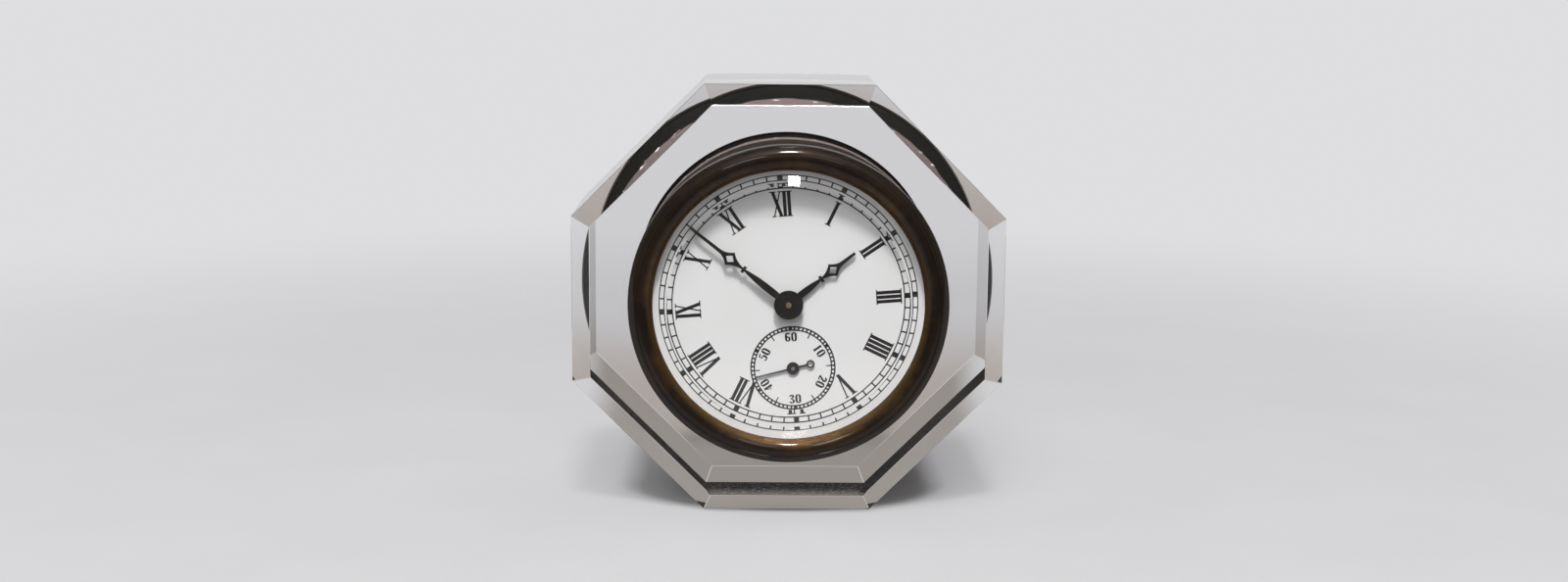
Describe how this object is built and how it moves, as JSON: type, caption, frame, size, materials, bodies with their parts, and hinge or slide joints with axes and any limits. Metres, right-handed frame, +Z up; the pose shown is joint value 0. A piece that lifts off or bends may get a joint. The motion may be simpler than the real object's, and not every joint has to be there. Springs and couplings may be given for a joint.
{
  "type": "paperweight clock",
  "caption": "Octagonal bevelled glass block paperweight clock with brass bezel, white enamel Roman dial, seconds subdial and a wound lever movement.",
  "frame": {"origin": "middle of the flat bottom facet of the glass block, which it stands on", "axes": "+Z up, the dial faces -Y, +X to the right of someone who reads the dial"},
  "size_m": [0.1, 0.0632, 0.0996],
  "materials": {
    "glass": "polished",
    "patinated_brass": "dark patina",
    "brass": "satin",
    "enamel": "glossy white enamel",
    "black_steel": "satin black",
    "steel": "polished",
    "blued_spring": "blued"
  },
  "bodies": {
    "case": {"glass_block": "glass", "case_drum": "patinated_brass", "bezel": "patinated_brass", "crystal": "glass", "crystal_ring": "patinated_brass", "dial": "enamel", "dial_feet": "brass", "front_plate": "brass", "back_plate": "brass", "plate_pillars": "brass", "plate_nuts": "steel", "back_cover": "patinated_brass", "cover_lip": "patinated_brass", "cover_nuts": "brass", "minute_wheel_stud": "steel", "balance_screws": "steel", "hairspring_stud": "brass", "mainspring_post": "steel", "mainspring": "blued_spring", "hairspring": "blued_spring"},
    "centre": {"centre_arbor": "steel", "centre_wheel": "brass", "cannon_pinion": "steel", "minute_hand": "black_steel", "minute_hand_boss": "black_steel", "set_knob": "brass"},
    "hour": {"hour_wheel": "brass", "hour_hand": "black_steel", "hour_hand_collet": "brass", "dial_washer": "brass"},
    "motion": {"minute_wheel": "brass", "minute_pinion": "steel"},
    "third": {"third_arbor": "steel", "third_wheel": "brass"},
    "fourth": {"fourth_arbor": "steel", "fourth_wheel": "brass", "second_hand": "black_steel"},
    "escape": {"escape_arbor": "steel", "escape_wheel": "brass"},
    "great": {"great_wheel": "brass", "click_screw": "steel", "click_spring": "blued_spring"},
    "click": {"click": "steel"},
    "winding": {"winding_arbor": "steel", "ratchet_wheel": "brass", "winding_key": "brass"},
    "pallet": {"pallet_arbor": "steel", "pallet_lever": "steel", "pallet_pins": "steel"},
    "balance": {"balance_staff": "steel", "balance_wheel": "brass", "balance_roller": "steel", "hairspring_collet": "brass"},
    "regulator": {"regulator": "steel"}
  },
  "joints": [
    {"name": "hands_turn", "type": "hinge", "parent": "case", "child": "centre", "pos_m": [0, 0, 0.0498], "axis": [0, 1, 0], "continuous": true},
    {"name": "hour_turn", "type": "hinge", "parent": "case", "child": "hour", "pos_m": [0, 0, 0.0498], "axis": [0, 1, 0], "continuous": true},
    {"name": "minute_wheel_turn", "type": "hinge", "parent": "case", "child": "motion", "pos_m": [0.00469, 0, 0.05527], "axis": [0, 1, 0], "continuous": true},
    {"name": "third_turn", "type": "hinge", "parent": "case", "child": "third", "pos_m": [-0.01049, 0, 0.03993], "axis": [0, 1, 0], "continuous": true},
    {"name": "fourth_turn", "type": "hinge", "parent": "case", "child": "fourth", "pos_m": [0.00116, 0, 0.03474], "axis": [0, 1, 0], "continuous": true},
    {"name": "escape_turn", "type": "hinge", "parent": "case", "child": "escape", "pos_m": [0.01152, 0, 0.03779], "axis": [0, 1, 0], "continuous": true},
    {"name": "great_turn", "type": "hinge", "parent": "case", "child": "great", "pos_m": [-0.00694, 0, 0.0651], "axis": [0, 1, 0], "continuous": true},
    {"name": "winding_turn", "type": "hinge", "parent": "great", "child": "winding", "pos_m": [-0.00694, 0, 0.0651], "axis": [0, 1, 0], "range_deg": [0, 1800], "deforming": ["mainspring"]},
    {"name": "click_lift", "type": "hinge", "parent": "great", "child": "click", "pos_m": [-0.00988, 0, 0.05773], "axis": [0, 1, 0], "range_deg": [-6, 4], "stiffness_Nm_per_rad": 0.00002},
    {"name": "lever_swing", "type": "hinge", "parent": "case", "child": "pallet", "pos_m": [0.01352, 0, 0.04382], "axis": [0, 1, 0], "range_deg": [-4, 4]},
    {"name": "balance_swing", "type": "hinge", "parent": "case", "child": "balance", "pos_m": [0.01678, 0, 0.05359], "axis": [0, 1, 0], "range_deg": [-220, 220], "stiffness_Nm_per_rad": 0.00001, "deforming": ["hairspring"]},
    {"name": "regulator_turn", "type": "hinge", "parent": "case", "child": "regulator", "pos_m": [0.01678, 0, 0.05359], "axis": [0, 1, 0], "range_deg": [-15, 15]}
  ],
  "couplings": [
    {"joint": "hour_turn", "follows": "hands_turn", "ratio": 0.083333},
    {"joint": "minute_wheel_turn", "follows": "hands_turn", "ratio": -0.33333},
    {"joint": "third_turn", "follows": "hands_turn", "ratio": -8},
    {"joint": "fourth_turn", "follows": "hands_turn", "ratio": 60},
    {"joint": "escape_turn", "follows": "hands_turn", "ratio": -480},
    {"joint": "great_turn", "follows": "hands_turn", "ratio": -0.16667}
  ]
}
